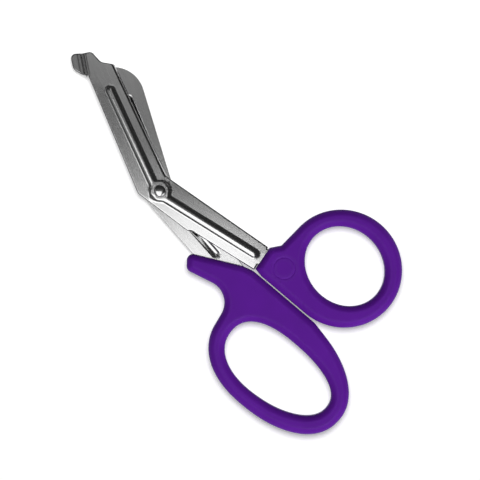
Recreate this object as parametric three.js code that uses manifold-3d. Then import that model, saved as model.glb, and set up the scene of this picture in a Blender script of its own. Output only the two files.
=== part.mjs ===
// Angled utility shears: two pressed steel blades on a rivet, with moulded plastic handles.
//
// Frame, in millimetres and degrees: the origin is on the rivet's axis at its flat tail face.
// +Z runs along the rivet towards its domed head. The closed handles meet along the -Y axis,
// the thumb handle on the +X side and the finger handle on the -X side, and the blades point
// towards +Y, leaning to +X. Directions are angles from +X, counter-clockwise seen from +Z.
import * as THREE from 'three';
import { mergeVertices } from 'three/addons/utils/BufferGeometryUtils.js';
import Module from 'manifold-3d';

const wasm = await Module();
wasm.setup();

// Pressed sheet of both blades
const sheet = 1.5;
const bladeGap = 0.1;
const ribHeight = 0.9;
const ribWidth = 4.2;
const ribSlope = 0.8;
const grooveWidth = 3.6;
const grooveDepth = 0.75;
const grooveSlope = 0.6;
const padRadius = 6.4;
const bossRadius = 4.6;
const bossSlope = 0.9;
const edgeBevelWidth = 1.1;
const edgeThickness = 0.4;

// Rivet
const pinRadius = 2.0;
const pinClearance = 0.06;
const seatGap = 0.05;
const headRadius = 2.65;
const headRim = 0.35;
const headDome = 0.95;
const tailRadius = 2.9;
const tailThickness = 0.8;
const tailChamfer = 0.3;

// Lower blade, the one with the blunt foot: lengths run from the rivet
const lowerDirection = 65;
const lowerLength = 56.2;
const lowerEdge = { heel: 4, root: 5.25, tip: 4.8 };
const lowerSpine = { heel: 2.9, root: 8.85, tip: 7.2 };
const lowerRib = { setback: 7.2, left: 1.25 };
const creaseTurn = 13.8;
const creaseLength = 10;
const footDepth = 5.9;
const footOverhang = 1.1;
const footSlope = 50;
const footLipSlope = 18;
const footBendRadius = 1.6;
const footLipRadius = 5;
const footStraight = 0.4;
const footHeel = { along: 4.4, radius: 4 };
const footNotch = { along: 0.3, left: 1.2, radius: 1 };
const footRoot = { along: 0.6, left: -0.8 };
const footToeRadius = 2;
const bluntTip = { overrun: 3.2, left: -0.1, radius: 3 };
const tipHollow = { overrun: 0.2, left: -3.2, radius: 2.8 };
const spineEnd = { setback: 1.6, creaseSetback: 0.3 };

// Upper blade, with the rounded end: it reaches a little past the lower blade's edge
const upperDirection = 62.7;
const upperLength = lowerLength + 0.25;
const upperEdge = { heel: 9, root: 3.5 };
const upperSpine = { heel: 1, root: 5.85, tip: 11.1 };
const upperTipRadius = 13.1;
const upperRib = { setback: 13.85, left: -2.5 };
const serrationPitch = 1.4;
const serrationDepth = 0.25;
const serrationMargin = { heel: 4, tip: 2 };

// Fillets of both blades' outlines
const fillet = { shoulder: 0.4, corner: 0.5, heel: 3, elbow: 7, jogStart: 0.6, jogEnd: 0.8 };
const upperFillet = { elbow: 4, edgeHeel: 2, tang: 1 };

// Shanks: sides are distances from the line through the rivet, inner towards the parting line
const handleReach = 51.2;
const shankInner = 7.2;
const lowerShank = { jogInner: 8.15, jog: 18.4, jogRun: 1.4, outerRoot: 6.35, outerTip: 3.95 };
const upperShank = { inner: 5.6, outer: 6.95 };
const lowerShankRib = { setback: 1.8, left: -1.4 };
const upperShankRib = { setback: 14, left: 0.2 };

// Tangs inside the handles
const tangLength = 14.6;
const lowerTang = { inner: 4.7, outer: 3.3 };
const upperTang = { inner: 2.8, outer: 5.2 };
const tangEndRadius = 3.2;
const tangTaper = 1.5;
const lockHoleRadius = 2.4;
const lockHoleSetback = 4.6;
const fitClearance = 0.3;

// Handles
const handleThickness = 9;
const handleGap = 0.6;
const edgeRoundWidth = 2.4;
const edgeRoundDepth = 2.0;
const hookRadius = edgeRoundWidth + 0.1;
const thumbHole = { halfLength: 17.8, halfWidth: 15.6, lean: -4.7, squareness: 2, taper: 0, bow: 0 };
const thumbWalls = { parting: 10.1, side: 7.5, end: 7.3 };
const thumbHoleReach = 28.2;
const fingerHole = { halfLength: 25.5, halfWidth: 13.5, lean: 2.2, squareness: 2.25, taper: -0.1, bow: 1 };
const fingerLoop = { lean: -3.5, squareness: 2.24, taper: -0.115, bow: 0 };
const fingerWalls = { parting: 11.4, side: 6.75, end: 7.4 };
const fingerHoleReach = 35.1;

// Front of the thumb handle, around the lower shank
const thumbNeck = { advance: 0.4, clearance: 0.1, flareX: 3, flareY: 3.1, flareRadius: 2.4 };
const thumbFront = { inset: 0.7, length: 5 };

// Front of the finger handle: its finger hook, and its corner beside the lower shank
const hookTop = { setback: 24.3, left: -8.5 };
const hookUnderside = { setback: 19, left: -13.4 };
const hookThroat = { advance: 1.3, left: -5.1, radius: 9.4 };
const fingerFront = { setback: 4.9, inset: 0.45, advance: 0.3, radius: 4 };
const partingEnd = { rise: 1.5, radius: 20 };
const pocketMouth = { thumb: 5, finger: 35 };
const witnessRing = { inner: 4.3, outer: 4.75, depth: 0.15 };

// Levels along the rivet
const upperBladeZ = tailThickness + seatGap + ribHeight;
const lowerBladeZ = upperBladeZ + sheet + bladeGap;
const headSeatZ = lowerBladeZ + sheet + ribHeight + seatGap;
const handleBottomZ = lowerBladeZ - bladeGap / 2 - handleThickness / 2;
const handleTopZ = handleBottomZ + handleThickness;

// The shanks' inner sides reach the parting line at the front of the handles
const shankSplay = THREE.MathUtils.radToDeg(Math.asin((shankInner + handleGap / 2) / handleReach));
const lowerShankDirection = -90 + shankSplay;
const upperShankDirection = -90 - shankSplay;

const ARC_STEP = 10;
const LOOP_STEP = 6;
const ROUND_SIDES = 48;

// ---------------------------------------------------------------- plane geometry

// Points given by a distance along a direction and a distance to its left
function placer(direction, origin = new THREE.Vector2()) {
  const angle = THREE.MathUtils.degToRad(direction);
  const forward = new THREE.Vector2(Math.cos(angle), Math.sin(angle));
  const side = new THREE.Vector2(-forward.y, forward.x);
  return (along, left) => origin.clone().addScaledVector(forward, along).addScaledVector(side, left);
}

// Closed outline through corners [point, radius], each corner rounded by an arc
function rounded(corners) {
  const outline = [];
  corners.forEach(([corner, radius = 0], i) => {
    const before = corners[(i + corners.length - 1) % corners.length];
    const after = corners[(i + 1) % corners.length];
    outline.push(...roundedCorner(before, corner, after, radius));
  });
  return outline;
}

// An arc takes up to half of a side whose other end is rounded too, and the whole of one that isn't
function roundedCorner([before, radiusBefore = 0], corner, [after, radiusAfter = 0], radius) {
  const arriving = corner.clone().sub(before);
  const leaving = after.clone().sub(corner);
  const turn = Math.atan2(arriving.cross(leaving), arriving.dot(leaving));
  const halfTan = Math.tan(Math.abs(turn) / 2);
  const share = (otherRadius) => (otherRadius > 0 ? 0.49 : 0.98);
  const room = Math.min(share(radiusBefore) * arriving.length(), share(radiusAfter) * leaving.length());
  const fitted = Math.min(radius, room / halfTan);
  if (fitted < 0.01) {
    return [corner.clone()];
  }
  const start = corner.clone().addScaledVector(arriving.normalize(), -fitted * halfTan);
  const centre = placer(THREE.MathUtils.radToDeg(arriving.angle()), start)(0, Math.sign(turn) * fitted);
  const steps = Math.max(2, Math.ceil(Math.abs(THREE.MathUtils.radToDeg(turn)) / ARC_STEP));
  return Array.from({ length: steps + 1 }, (_, k) =>
    start.clone().rotateAround(centre, (turn * k) / steps));
}

function circle(radius, centre = new THREE.Vector2()) {
  return Array.from({ length: ROUND_SIDES }, (_, k) => {
    const angle = (2 * Math.PI * k) / ROUND_SIDES;
    return new THREE.Vector2(radius * Math.cos(angle), radius * Math.sin(angle)).add(centre);
  });
}

// Rounded bar around the line from one distance to another
function bar(place, from, to, left, width) {
  const half = width / 2;
  return rounded([
    [place(from, left - half), half],
    [place(to, left - half), half],
    [place(to, left + half), half],
    [place(from, left + half), half],
  ]);
}

// Egg-shaped loop: angle 0 is its far end, 90 its +X side
function egg(size, centre) {
  const place = placer(-90 + size.lean, centre);
  return (degrees) => {
    const angle = THREE.MathUtils.degToRad(degrees);
    const power = 2 / size.squareness;
    const reach = Math.sign(Math.cos(angle)) * Math.abs(Math.cos(angle)) ** power;
    const width = Math.sign(Math.sin(angle)) * Math.abs(Math.sin(angle)) ** power;
    return place(
      size.halfLength * reach,
      size.halfWidth * (1 + size.taper * reach) * width + size.bow * (reach ** 2 - 0.5));
  };
}

function eggArc(point, from, to) {
  const steps = Math.ceil(Math.abs(to - from) / LOOP_STEP);
  return Array.from({ length: steps + 1 }, (_, k) => point(from + ((to - from) * k) / steps));
}

function eggOutline(point) {
  return eggArc(point, 0, 360).slice(1);
}

// ---------------------------------------------------------------- solids

function toSolid(geometry) {
  const bare = geometry.index ? geometry.toNonIndexed() : geometry.clone();
  bare.deleteAttribute('normal');
  bare.deleteAttribute('uv');
  const merged = mergeVertices(bare, 1e-4);
  return new wasm.Manifold(new wasm.Mesh({
    numProp: 3,
    vertProperties: new Float32Array(merged.attributes.position.array),
    triVerts: new Uint32Array(merged.index.array),
  }));
}

function toGeometry(solid) {
  const mesh = solid.getMesh();
  const geometry = new THREE.BufferGeometry();
  geometry.setAttribute('position', new THREE.BufferAttribute(mesh.vertProperties, 3));
  geometry.setIndex(new THREE.BufferAttribute(mesh.triVerts, 1));
  return geometry;
}

function prism(outline, bottom, top) {
  const geometry = new THREE.ExtrudeGeometry(new THREE.Shape(outline), {
    depth: top - bottom, bevelEnabled: false,
  });
  return toSolid(geometry.translate(0, 0, bottom));
}

// Plate whose outline, and whose hole, are rounded over at both faces
function cushionedPlate(outline, hole, bottom, top) {
  const shape = new THREE.Shape(outline);
  shape.holes.push(new THREE.Path(hole));
  const geometry = new THREE.ExtrudeGeometry(shape, {
    depth: top - bottom - 2 * edgeRoundDepth,
    bevelThickness: edgeRoundDepth,
    bevelSize: edgeRoundWidth,
    bevelOffset: -edgeRoundWidth,
    bevelSegments: 3,
  });
  return toSolid(geometry.translate(0, 0, bottom + edgeRoundDepth));
}

// Ridge with sloping sides that rises from a face: rise is +1 for upward and -1 for downward
function ridge(outline, faceZ, height, slope, rise) {
  const geometry = new THREE.ExtrudeGeometry(new THREE.Shape(outline), {
    depth: sheet / 4,
    bevelThickness: height,
    bevelSize: slope,
    bevelOffset: -slope,
    bevelSegments: 1,
  });
  const centred = toSolid(geometry.translate(0, 0, faceZ - (sheet / 8) * (1 + rise)));
  const root = faceZ - rise * (sheet / 2);
  const crown = faceZ + rise * (height + 1);
  return centred.intersect(prism(outline, Math.min(root, crown), Math.max(root, crown)));
}

// Bar of constant section along a direction: section x is to its left and section y is up
function beam(section, start, direction, length) {
  const geometry = new THREE.ExtrudeGeometry(new THREE.Shape(section), {
    depth: length, bevelEnabled: false,
  });
  const place = placer(direction);
  const forward = place(1, 0);
  const side = place(0, 1);
  const basis = new THREE.Matrix4().makeBasis(
    new THREE.Vector3(side.x, side.y, 0),
    new THREE.Vector3(0, 0, 1),
    new THREE.Vector3(forward.x, forward.y, 0));
  basis.setPosition(start.x, start.y, 0);
  return toSolid(geometry.applyMatrix4(basis));
}

function turned(profile) {
  return toSolid(new THREE.LatheGeometry(profile, ROUND_SIDES).rotateX(Math.PI / 2));
}

// ---------------------------------------------------------------- blades

const lowerBladePlace = placer(lowerDirection);
const lowerShankPlace = placer(lowerShankDirection);
const upperBladePlace = placer(upperDirection);
const upperShankPlace = placer(upperShankDirection);

const creaseStart = lowerBladePlace(lowerLength - spineEnd.creaseSetback, lowerSpine.tip);
const creaseDirection = lowerDirection - creaseTurn;
const creasePlace = placer(creaseDirection, creaseStart);

// The two rounded corners at a tang's far end, grown outwards for the pocket around it
function tangEnd(place, left, right, grow = 0) {
  const end = handleReach + tangLength + grow;
  const radius = tangEndRadius + grow;
  return [
    [place(end, right - grow), radius],
    [place(end, left + grow), radius],
  ];
}

function lowerBladeOutline() {
  const blade = lowerBladePlace;
  const shank = lowerShankPlace;
  const shoulder = handleReach - fitClearance;
  const jogEnd = lowerShank.jog + lowerShank.jogRun;
  return rounded([
    ...tangEnd(shank, lowerTang.outer, -lowerTang.inner),
    [shank(shoulder, lowerTang.outer)],
    [shank(shoulder, lowerShank.outerTip), fillet.shoulder],
    [blade(lowerEdge.heel, -lowerEdge.root), fillet.elbow],
    [blade(lowerLength, -lowerEdge.tip), fillet.corner],
    [blade(lowerLength + bluntTip.overrun, bluntTip.left), bluntTip.radius],
    [creasePlace(creaseLength + tipHollow.overrun, tipHollow.left), tipHollow.radius],
    [creasePlace(creaseLength, 0)],
    [creaseStart],
    [blade(lowerLength - spineEnd.setback, lowerSpine.tip), fillet.corner],
    [blade(lowerSpine.heel, lowerSpine.root), fillet.heel],
    [shank(lowerShank.jog, -lowerShank.jogInner), fillet.jogStart],
    [shank(jogEnd, -shankInner), fillet.jogEnd],
    [shank(shoulder, -shankInner), fillet.shoulder],
    [shank(shoulder, -lowerTang.inner)],
  ]);
}

// Teeth along the upper blade's cutting edge, from its tip back to its heel
function serrations() {
  const usable = upperLength - upperEdge.heel - serrationMargin.heel;
  const count = Math.floor(usable / serrationPitch);
  const teeth = [];
  for (let k = 0; k < count; k += 1) {
    const crest = upperLength - serrationMargin.tip - k * serrationPitch;
    teeth.push([upperBladePlace(crest, upperEdge.root)]);
    teeth.push([upperBladePlace(crest - serrationPitch / 2, upperEdge.root - serrationDepth)]);
  }
  return teeth;
}

function upperBladeOutline() {
  const blade = upperBladePlace;
  const shank = upperShankPlace;
  return rounded([
    ...tangEnd(shank, upperTang.inner, -upperTang.outer),
    [shank(handleReach, upperTang.inner), upperFillet.tang],
    [shank(handleReach - tangTaper, upperShank.inner), upperFillet.tang],
    [blade(upperSpine.heel, -upperSpine.root), upperFillet.elbow],
    [blade(upperLength, -upperSpine.tip), upperTipRadius],
    [blade(upperLength, upperEdge.root)],
    ...serrations(),
    [blade(upperEdge.heel, upperEdge.root), upperFillet.edgeHeel],
    [shank(0, -upperShank.outer), upperFillet.elbow],
    [shank(handleReach - tangTaper, -upperShank.outer), upperFillet.tang],
    [shank(handleReach, -upperTang.outer), upperFillet.tang],
  ]);
}

// Ribs pressed out of a blade, the boss around the rivet, and the grooves behind the ribs
function pressedBlade(outline, bottom, rise, ribs) {
  const top = bottom + sheet;
  const outerFace = rise > 0 ? top : bottom;
  const innerFace = rise > 0 ? bottom : top;
  let solid = prism(outline, bottom, top);
  for (const rib of ribs) {
    const raised = bar(rib.place, 0, rib.end, rib.left, ribWidth);
    solid = solid.add(ridge(raised, outerFace, ribHeight, ribSlope, rise));
  }
  solid = solid.add(ridge(circle(bossRadius), outerFace, ribHeight, bossSlope, rise));
  for (const rib of ribs) {
    const grooveEnd = rib.end - (ribWidth - grooveWidth) / 2;
    const groove = bar(rib.place, padRadius, grooveEnd, rib.left, grooveWidth);
    solid = solid.subtract(ridge(groove, innerFace, grooveDepth, grooveSlope, rise));
  }
  const bore = circle(pinRadius + pinClearance);
  return solid.subtract(prism(bore, bottom - 2 * ribHeight, top + 2 * ribHeight));
}

// Ground bevel that thins one edge of a blade from its outer face
function edgeGrind(from, to, bladeSide, outerFace, rise) {
  const run = to.clone().sub(from);
  const direction = THREE.MathUtils.radToDeg(run.angle());
  const drop = sheet - edgeThickness;
  const overshoot = 0.5;
  const slope = drop / edgeBevelWidth;
  const section = [
    new THREE.Vector2(bladeSide * edgeBevelWidth, outerFace),
    new THREE.Vector2(bladeSide * edgeBevelWidth, outerFace + rise * overshoot),
    new THREE.Vector2(-bladeSide * overshoot, outerFace + rise * overshoot),
    new THREE.Vector2(-bladeSide * overshoot, outerFace - rise * (drop + slope * overshoot)),
  ];
  return beam(section, from, direction, run.length());
}

// Strip of sheet bent down at the crease and flattened again towards its lip
function footSection() {
  const middle = new THREE.Vector2(-footBendRadius, lowerBladeZ + sheet / 2);
  const stations = [{ at: middle.clone(), slope: 0 }];
  const advance = (length, slope) => {
    middle.copy(placer(-slope, middle)(length, 0));
    stations.push({ at: middle.clone(), slope });
  };
  const arc = (from, to, radius, steps) => {
    const step = (to - from) / steps;
    for (let k = 0; k < steps; k += 1) {
      advance(radius * THREE.MathUtils.degToRad(Math.abs(step)), from + step * (k + 0.5));
    }
  };
  arc(0, footSlope, footBendRadius, 4);
  advance(footStraight, footSlope);
  arc(footSlope, footLipSlope, footLipRadius, 4);
  advance(footDepth, footLipSlope);
  const offset = (station, distance) =>
    placer(-station.slope, station.at)(0, distance);
  const upper = stations.map((station) => offset(station, sheet / 2));
  const lower = stations.map((station) => offset(station, -sheet / 2)).reverse();
  return [...upper, ...lower];
}

function foot() {
  const band = beam(footSection(), creasePlace(-1, 0), creaseDirection, creaseLength + 3);
  const lip = rounded([
    [creasePlace(footRoot.along, footRoot.left)],
    [creasePlace(footNotch.along, footNotch.left), footNotch.radius],
    [creasePlace(footHeel.along, footDepth), footHeel.radius],
    [creasePlace(creaseLength + footOverhang, footDepth), footToeRadius],
    [creasePlace(creaseLength, footRoot.left)],
  ]);
  return band.intersect(prism(lip, handleBottomZ - sheet, headSeatZ));
}

function lockHole(place) {
  return place(handleReach + tangLength - lockHoleSetback, 0);
}

// Upright cylinder through a tang's lock hole, ending inside the handle's faces
function lockPin(place, radius) {
  const cover = 1;
  return prism(circle(radius, lockHole(place)), handleBottomZ + cover, handleTopZ - cover);
}

function lowerBlade() {
  const ribs = [
    { place: lowerBladePlace, end: lowerLength - lowerRib.setback, left: lowerRib.left },
    { place: lowerShankPlace, end: handleReach - lowerShankRib.setback, left: lowerShankRib.left },
  ];
  const heel = lowerBladePlace(lowerEdge.heel, -lowerEdge.root);
  const corner = lowerBladePlace(lowerLength, -lowerEdge.tip);
  return pressedBlade(lowerBladeOutline(), lowerBladeZ, 1, ribs)
    .add(foot())
    .subtract(edgeGrind(heel, corner, 1, lowerBladeZ + sheet, 1))
    .subtract(lockPin(lowerShankPlace, lockHoleRadius));
}

function upperBlade() {
  const ribs = [
    { place: upperBladePlace, end: upperLength - upperRib.setback, left: upperRib.left },
    { place: upperShankPlace, end: handleReach - upperShankRib.setback, left: upperShankRib.left },
  ];
  const heel = upperBladePlace(upperEdge.heel, upperEdge.root);
  const corner = upperBladePlace(upperLength, upperEdge.root);
  return pressedBlade(upperBladeOutline(), upperBladeZ, -1, ribs)
    .subtract(edgeGrind(heel, corner, -1, upperBladeZ, -1))
    .subtract(lockPin(upperShankPlace, lockHoleRadius));
}

// ---------------------------------------------------------------- rivet

function pivotRivet() {
  const dome = Array.from({ length: 7 }, (_, k) => {
    const angle = (Math.PI / 2) * ((k + 1) / 7);
    return new THREE.Vector2(headRadius * Math.cos(angle), headSeatZ + headRim + headDome * Math.sin(angle));
  });
  dome[dome.length - 1].x = 0;
  return turned([
    new THREE.Vector2(0, 0),
    new THREE.Vector2(tailRadius - tailChamfer, 0),
    new THREE.Vector2(tailRadius, tailChamfer),
    new THREE.Vector2(tailRadius, tailThickness),
    new THREE.Vector2(pinRadius, tailThickness),
    new THREE.Vector2(pinRadius, headSeatZ),
    new THREE.Vector2(headRadius, headSeatZ),
    new THREE.Vector2(headRadius, headSeatZ + headRim),
    ...dome,
  ]);
}

// ---------------------------------------------------------------- handles

// Space for a tang, larger than it by the fit clearance all round
function tangPocket(corners, bladeZ) {
  return prism(rounded(corners), bladeZ - fitClearance, bladeZ + sheet + fitClearance);
}

// Shallow circle left in the upper face where the plastic fills the lock hole
function witnessMark(place) {
  const level = handleTopZ - witnessRing.depth;
  const outer = prism(circle(witnessRing.outer, lockHole(place)), level, handleTopZ + 1);
  return outer.subtract(prism(circle(witnessRing.inner, lockHole(place)), level - 1, handleTopZ + 2));
}

function thumbHandle() {
  const halfLength = thumbHole.halfLength + thumbWalls.end;
  const halfWidth = (thumbWalls.parting + 2 * thumbHole.halfWidth + thumbWalls.side) / 2;
  const centreY = -(handleReach + thumbHoleReach);
  const holeX = handleGap / 2 + thumbWalls.parting + thumbHole.halfWidth;
  const ring = egg(
    { halfLength, halfWidth, lean: 0, squareness: 2, taper: 0, bow: 0 },
    new THREE.Vector2(handleGap / 2 + halfWidth, centreY));
  const hole = egg(thumbHole, new THREE.Vector2(holeX, centreY));
  const front = lowerShankPlace;
  const neck = front(handleReach + thumbNeck.advance, lowerShank.outerTip + thumbNeck.clearance);
  const outline = [
    ...rounded([
      [new THREE.Vector2(handleGap / 2, neck.y - thumbFront.length)],
      [front(handleReach, -shankInner + thumbFront.inset)],
      [neck],
      [new THREE.Vector2(neck.x + thumbNeck.flareX, neck.y - thumbNeck.flareY), thumbNeck.flareRadius],
      [ring(180)],
    ]).slice(0, -1),
    ...eggArc(ring, 180, -90),
  ];
  const mouth = handleReach - pocketMouth.thumb;
  const pocket = tangPocket([
    [front(mouth, -lowerTang.inner - fitClearance)],
    ...tangEnd(front, lowerTang.outer, -lowerTang.inner, fitClearance),
    [front(mouth, lowerTang.outer + fitClearance)],
  ], lowerBladeZ);
  return cushionedPlate(outline, eggOutline(hole), handleBottomZ, handleTopZ)
    .subtract(pocket)
    .add(lockPin(front, lockHoleRadius - fitClearance))
    .subtract(witnessMark(front));
}

function fingerHandle() {
  const halfLength = fingerHole.halfLength + fingerWalls.end;
  const halfWidth = (fingerWalls.parting + 2 * fingerHole.halfWidth + fingerWalls.side) / 2;
  const centreY = -(handleReach + fingerHoleReach);
  const holeX = -(handleGap / 2 + fingerWalls.parting + fingerHole.halfWidth);
  const loopSize = { halfLength, halfWidth, ...fingerLoop };
  const widest = Math.max(...eggOutline(egg(loopSize, new THREE.Vector2())).map((point) => point.x));
  const loop = egg(loopSize, new THREE.Vector2(-handleGap / 2 - widest, centreY));
  const hole = egg(fingerHole, new THREE.Vector2(holeX, centreY));
  const shank = upperShankPlace;
  const parting = -handleGap / 2;
  const loopStart = eggArc(loop, 90, -165).filter((point) => point.x < parting - 0.02);
  const outline = rounded([
    [shank(handleReach - hookTop.setback, hookTop.left), hookRadius],
    [shank(handleReach - fingerFront.setback, upperShank.inner - fingerFront.inset)],
    [new THREE.Vector2(parting, -(handleReach + fingerFront.advance)), fingerFront.radius],
    [new THREE.Vector2(parting, loopStart[0].y + partingEnd.rise), partingEnd.radius],
    ...loopStart.map((point) => [point]),
    [shank(handleReach + hookThroat.advance, hookThroat.left), hookThroat.radius],
    [shank(handleReach - hookUnderside.setback, hookUnderside.left), hookRadius],
  ]);
  const mouth = handleReach - pocketMouth.finger;
  const narrow = handleReach + fitClearance;
  const wide = narrow - tangTaper;
  const pocket = tangPocket([
    [shank(mouth, -upperShank.outer - fitClearance)],
    [shank(wide, -upperShank.outer - fitClearance), 1],
    [shank(narrow, -upperTang.outer - fitClearance), 1],
    ...tangEnd(shank, upperTang.inner, -upperTang.outer, fitClearance),
    [shank(narrow, upperTang.inner + fitClearance), 1],
    [shank(wide, upperShank.inner + fitClearance), 1],
    [shank(mouth, upperShank.inner + fitClearance)],
  ], upperBladeZ);
  return cushionedPlate(outline, eggOutline(hole), handleBottomZ, handleTopZ)
    .subtract(pocket)
    .add(lockPin(shank, lockHoleRadius - fitClearance));
}

// ---------------------------------------------------------------- assembly

const steel = { color: 0xb4b4b4, roughness: 0.32, metalness: 1 };
const rivetSteel = { color: 0xc4c4c4, roughness: 0.22, metalness: 1 };
const purplePlastic = { color: 0x5c1c95, roughness: 0.42, metalness: 0 };

function node(name, solid, finish) {
  const mesh = new THREE.Mesh(toGeometry(solid), new THREE.MeshStandardMaterial(finish));
  mesh.name = name;
  return mesh;
}

const shears = new THREE.Group();
shears.add(
  node('lower_blade', lowerBlade(), steel),
  node('upper_blade', upperBlade(), steel),
  node('pivot_rivet', pivotRivet(), rivetSteel),
  node('thumb_handle', thumbHandle(), purplePlastic),
  node('finger_handle', fingerHandle(), purplePlastic));

export default shears;
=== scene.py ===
"""Looks of a pair of angled utility shears: brushed steel blades and moulded purple plastic handles.

Lengths here are in millimetres and directions in degrees, as in the part, until a mesh or a lamp is made.
"""
import math

import bmesh
import bpy
import numpy as np
from mathutils import Matrix, Vector, geometry


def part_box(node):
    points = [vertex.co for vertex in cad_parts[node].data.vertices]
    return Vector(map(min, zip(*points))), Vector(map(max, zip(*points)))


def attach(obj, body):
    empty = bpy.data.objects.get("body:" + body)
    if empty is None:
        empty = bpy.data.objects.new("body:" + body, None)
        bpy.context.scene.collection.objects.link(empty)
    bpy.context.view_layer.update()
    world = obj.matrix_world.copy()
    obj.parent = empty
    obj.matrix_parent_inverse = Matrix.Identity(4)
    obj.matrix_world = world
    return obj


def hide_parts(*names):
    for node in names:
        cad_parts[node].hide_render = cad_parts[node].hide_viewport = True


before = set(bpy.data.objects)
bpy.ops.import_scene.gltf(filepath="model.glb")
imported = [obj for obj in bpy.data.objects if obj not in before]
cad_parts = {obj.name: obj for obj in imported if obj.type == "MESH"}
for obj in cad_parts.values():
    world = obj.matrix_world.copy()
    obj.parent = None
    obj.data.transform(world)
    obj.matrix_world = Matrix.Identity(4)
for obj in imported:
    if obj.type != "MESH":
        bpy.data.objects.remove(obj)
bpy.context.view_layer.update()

MM = 0.001

# Pressed sheet of both blades, the same sizes as the part's
SHEET = 1.5
BLADE_GAP = 0.1
RIB_HEIGHT = 0.9
RIB_WIDTH = 4.2
GROOVE_WIDTH = 3.6
GROOVE_DEPTH = 0.75
GROOVE_SETBACK = 0.3
PAD_RADIUS = 6.4
BOSS_RADIUS = 4.9
BOSS_FLANK = 1.3
EDGE_BEVEL_WIDTH = 1.1
LOWER_BEVEL_DROP = 0.75
UPPER_BEVEL_DROP = 1.1
BORE_RADIUS = 2.06

# Widths of the blades' broken edges
OUTER_EDGE = 0.42
UNDER_EDGE = 0.3
INNER_EDGE = 0.12

# Lower blade, the one with the blunt foot: lengths run from the rivet
LOWER_DIRECTION = 65
LOWER_LENGTH = 56.2
LOWER_EDGE = {"heel": 4, "root": 5.25, "tip": 4.8}
LOWER_SPINE = {"heel": 2.9, "root": 8.85, "tip": 7.2}
LOWER_RIB = {"end": 49.0, "left": 1.25}
CREASE_TURN = 13.8
CREASE_LENGTH = 10
BLUNT_TIP = {"overrun": 3.2, "left": -0.1, "radius": 3}
TIP_HOLLOW = {"overrun": 0.2, "left": -3.2, "radius": 2.8}
SPINE_END = {"setback": 1.6, "crease_setback": 0.3}

# Foot of the lower blade, bent down along its crease
FOOT_DEPTH = 5.9
FOOT_ROOT = {"overrun": 0.15, "left": -0.6}
FOOT_OVERHANG = 1.1
FOOT_TOE_RADIUS = 2
FOOT_HEEL = {"along": 4.4, "radius": 4}
FOOT_NOTCH = {"along": 0.3, "left": 1.2, "radius": 1}
FOOT_SLIT = {"along": 0.35, "left": 0.1}
FOOT_SLOPE = 41
FOOT_LIP_SLOPE = 1
FOOT_BEND_START = -0.85
FOOT_BEND_RADIUS = 0.9
FOOT_STRAIGHT = 1.4
FOOT_LIP_RADIUS = 4
FOOT_LIP_LENGTH = 8

# Degrees by which the lower blade's flats fall away from its ribs, and where the blade twists
BLADE_FALL = {"spine": 0.4, "edge": 0.3, "twist": 2.2}
TWIST = {"start": 5, "full": 40, "fade": 46, "end": 53}
SHANK_FALL = {"outer": 1.0, "inner": 1.7}

# Upper blade, with the rounded end
UPPER_DIRECTION = 62.7
UPPER_LENGTH = LOWER_LENGTH + 0.25
UPPER_EDGE = {"heel": 9, "root": 3.5}
UPPER_SPINE = {"heel": 1, "root": 5.85, "tip": 11.1}
UPPER_TIP_RADIUS = 13.1
UPPER_RIB = {"end": 42.6, "left": -2.5}
SERRATION_PITCH = 1.4
SERRATION_DEPTH = 0.25
SERRATION_MARGIN = {"heel": 4, "tip": 2}

# Fillets of both blades' outlines
FILLET = {"shoulder": 0.4, "corner": 0.5, "heel": 3, "elbow": 7, "jog_start": 0.6, "jog_end": 0.8}
UPPER_FILLET = {"elbow": 4, "edge_heel": 2, "tang": 1}

# Shanks and tangs: sides are distances from the line through the rivet
HANDLE_REACH = 51.2
HANDLE_GAP = 0.6
FIT_CLEARANCE = 0.3
SHANK_INNER = 7.2
LOWER_SHANK = {"jog_inner": 8.15, "jog": 18.4, "jog_run": 1.4, "outer": 3.95}
LOWER_SHANK_RIB = {"end": 49.4, "left": -1.4}
UPPER_SHANK = {"inner": 5.6, "outer": 6.95}
UPPER_SHANK_RIB = {"end": 37.2, "left": 0.2}
TANG_END = HANDLE_REACH + 14.6
LOWER_TANG = {"inner": 4.7, "outer": 3.3}
UPPER_TANG = {"inner": 2.8, "outer": 5.2}
TANG_END_RADIUS = 3.2
TANG_TAPER = 1.5
LOCK_HOLE_RADIUS = 2.4
LOCK_HOLE_SETBACK = 4.6

# Rivet
PIN_RADIUS = 2.0
HEAD_RADIUS = 2.65
HEAD_HEIGHT = 1.3
HEAD_RIM = 0.25
TAIL_RADIUS = 2.9
TAIL_THICKNESS = 0.8
RIVET_CHAMFER = 0.1

# Handles: their outlines are read from the CAD solids at levels where only the plain wall is cut
THUMB_OUTLINE_LEVEL = 1.1
FINGER_OUTLINE_LEVEL = 4.6
ROUND_WIDTH = 2.6
ROUND_DEPTH = 2.0
ROUND_FULLNESS = 1.35
PARTING_RIDGE = 0.05
WITNESS_RADIUS = 4.5
WITNESS_DEPTH = 0.15

# Studio
FLOOR_LIFT = 0.3
FLOOR_GAP = 0.02
WORLD_LEVEL = 0.03
PHOTO_TURN = 49.7          # the view's right-hand side is this far clockwise from +X
VIEW_CENTRE = (6.02, -38.85)
VIEW_WIDTH = 201.1
VIEWED_LEVEL = 4.0
LENS = 200.0
SENSOR_WIDTH = 36.0


# ---------------------------------------------------------------- plane geometry

def placer(direction, origin=(0.0, 0.0)):
    """Points given by a distance along a direction and a distance to its left, and the way back."""
    angle = math.radians(direction)
    forward = np.array([math.cos(angle), math.sin(angle)])
    side = np.array([-forward[1], forward[0]])
    start = np.asarray(origin, float)

    def place(along, left):
        return start + np.multiply.outer(along, forward) + np.multiply.outer(left, side)

    def read(points):
        return (points - start) @ forward, (points - start) @ side

    place.read = read
    return place


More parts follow.
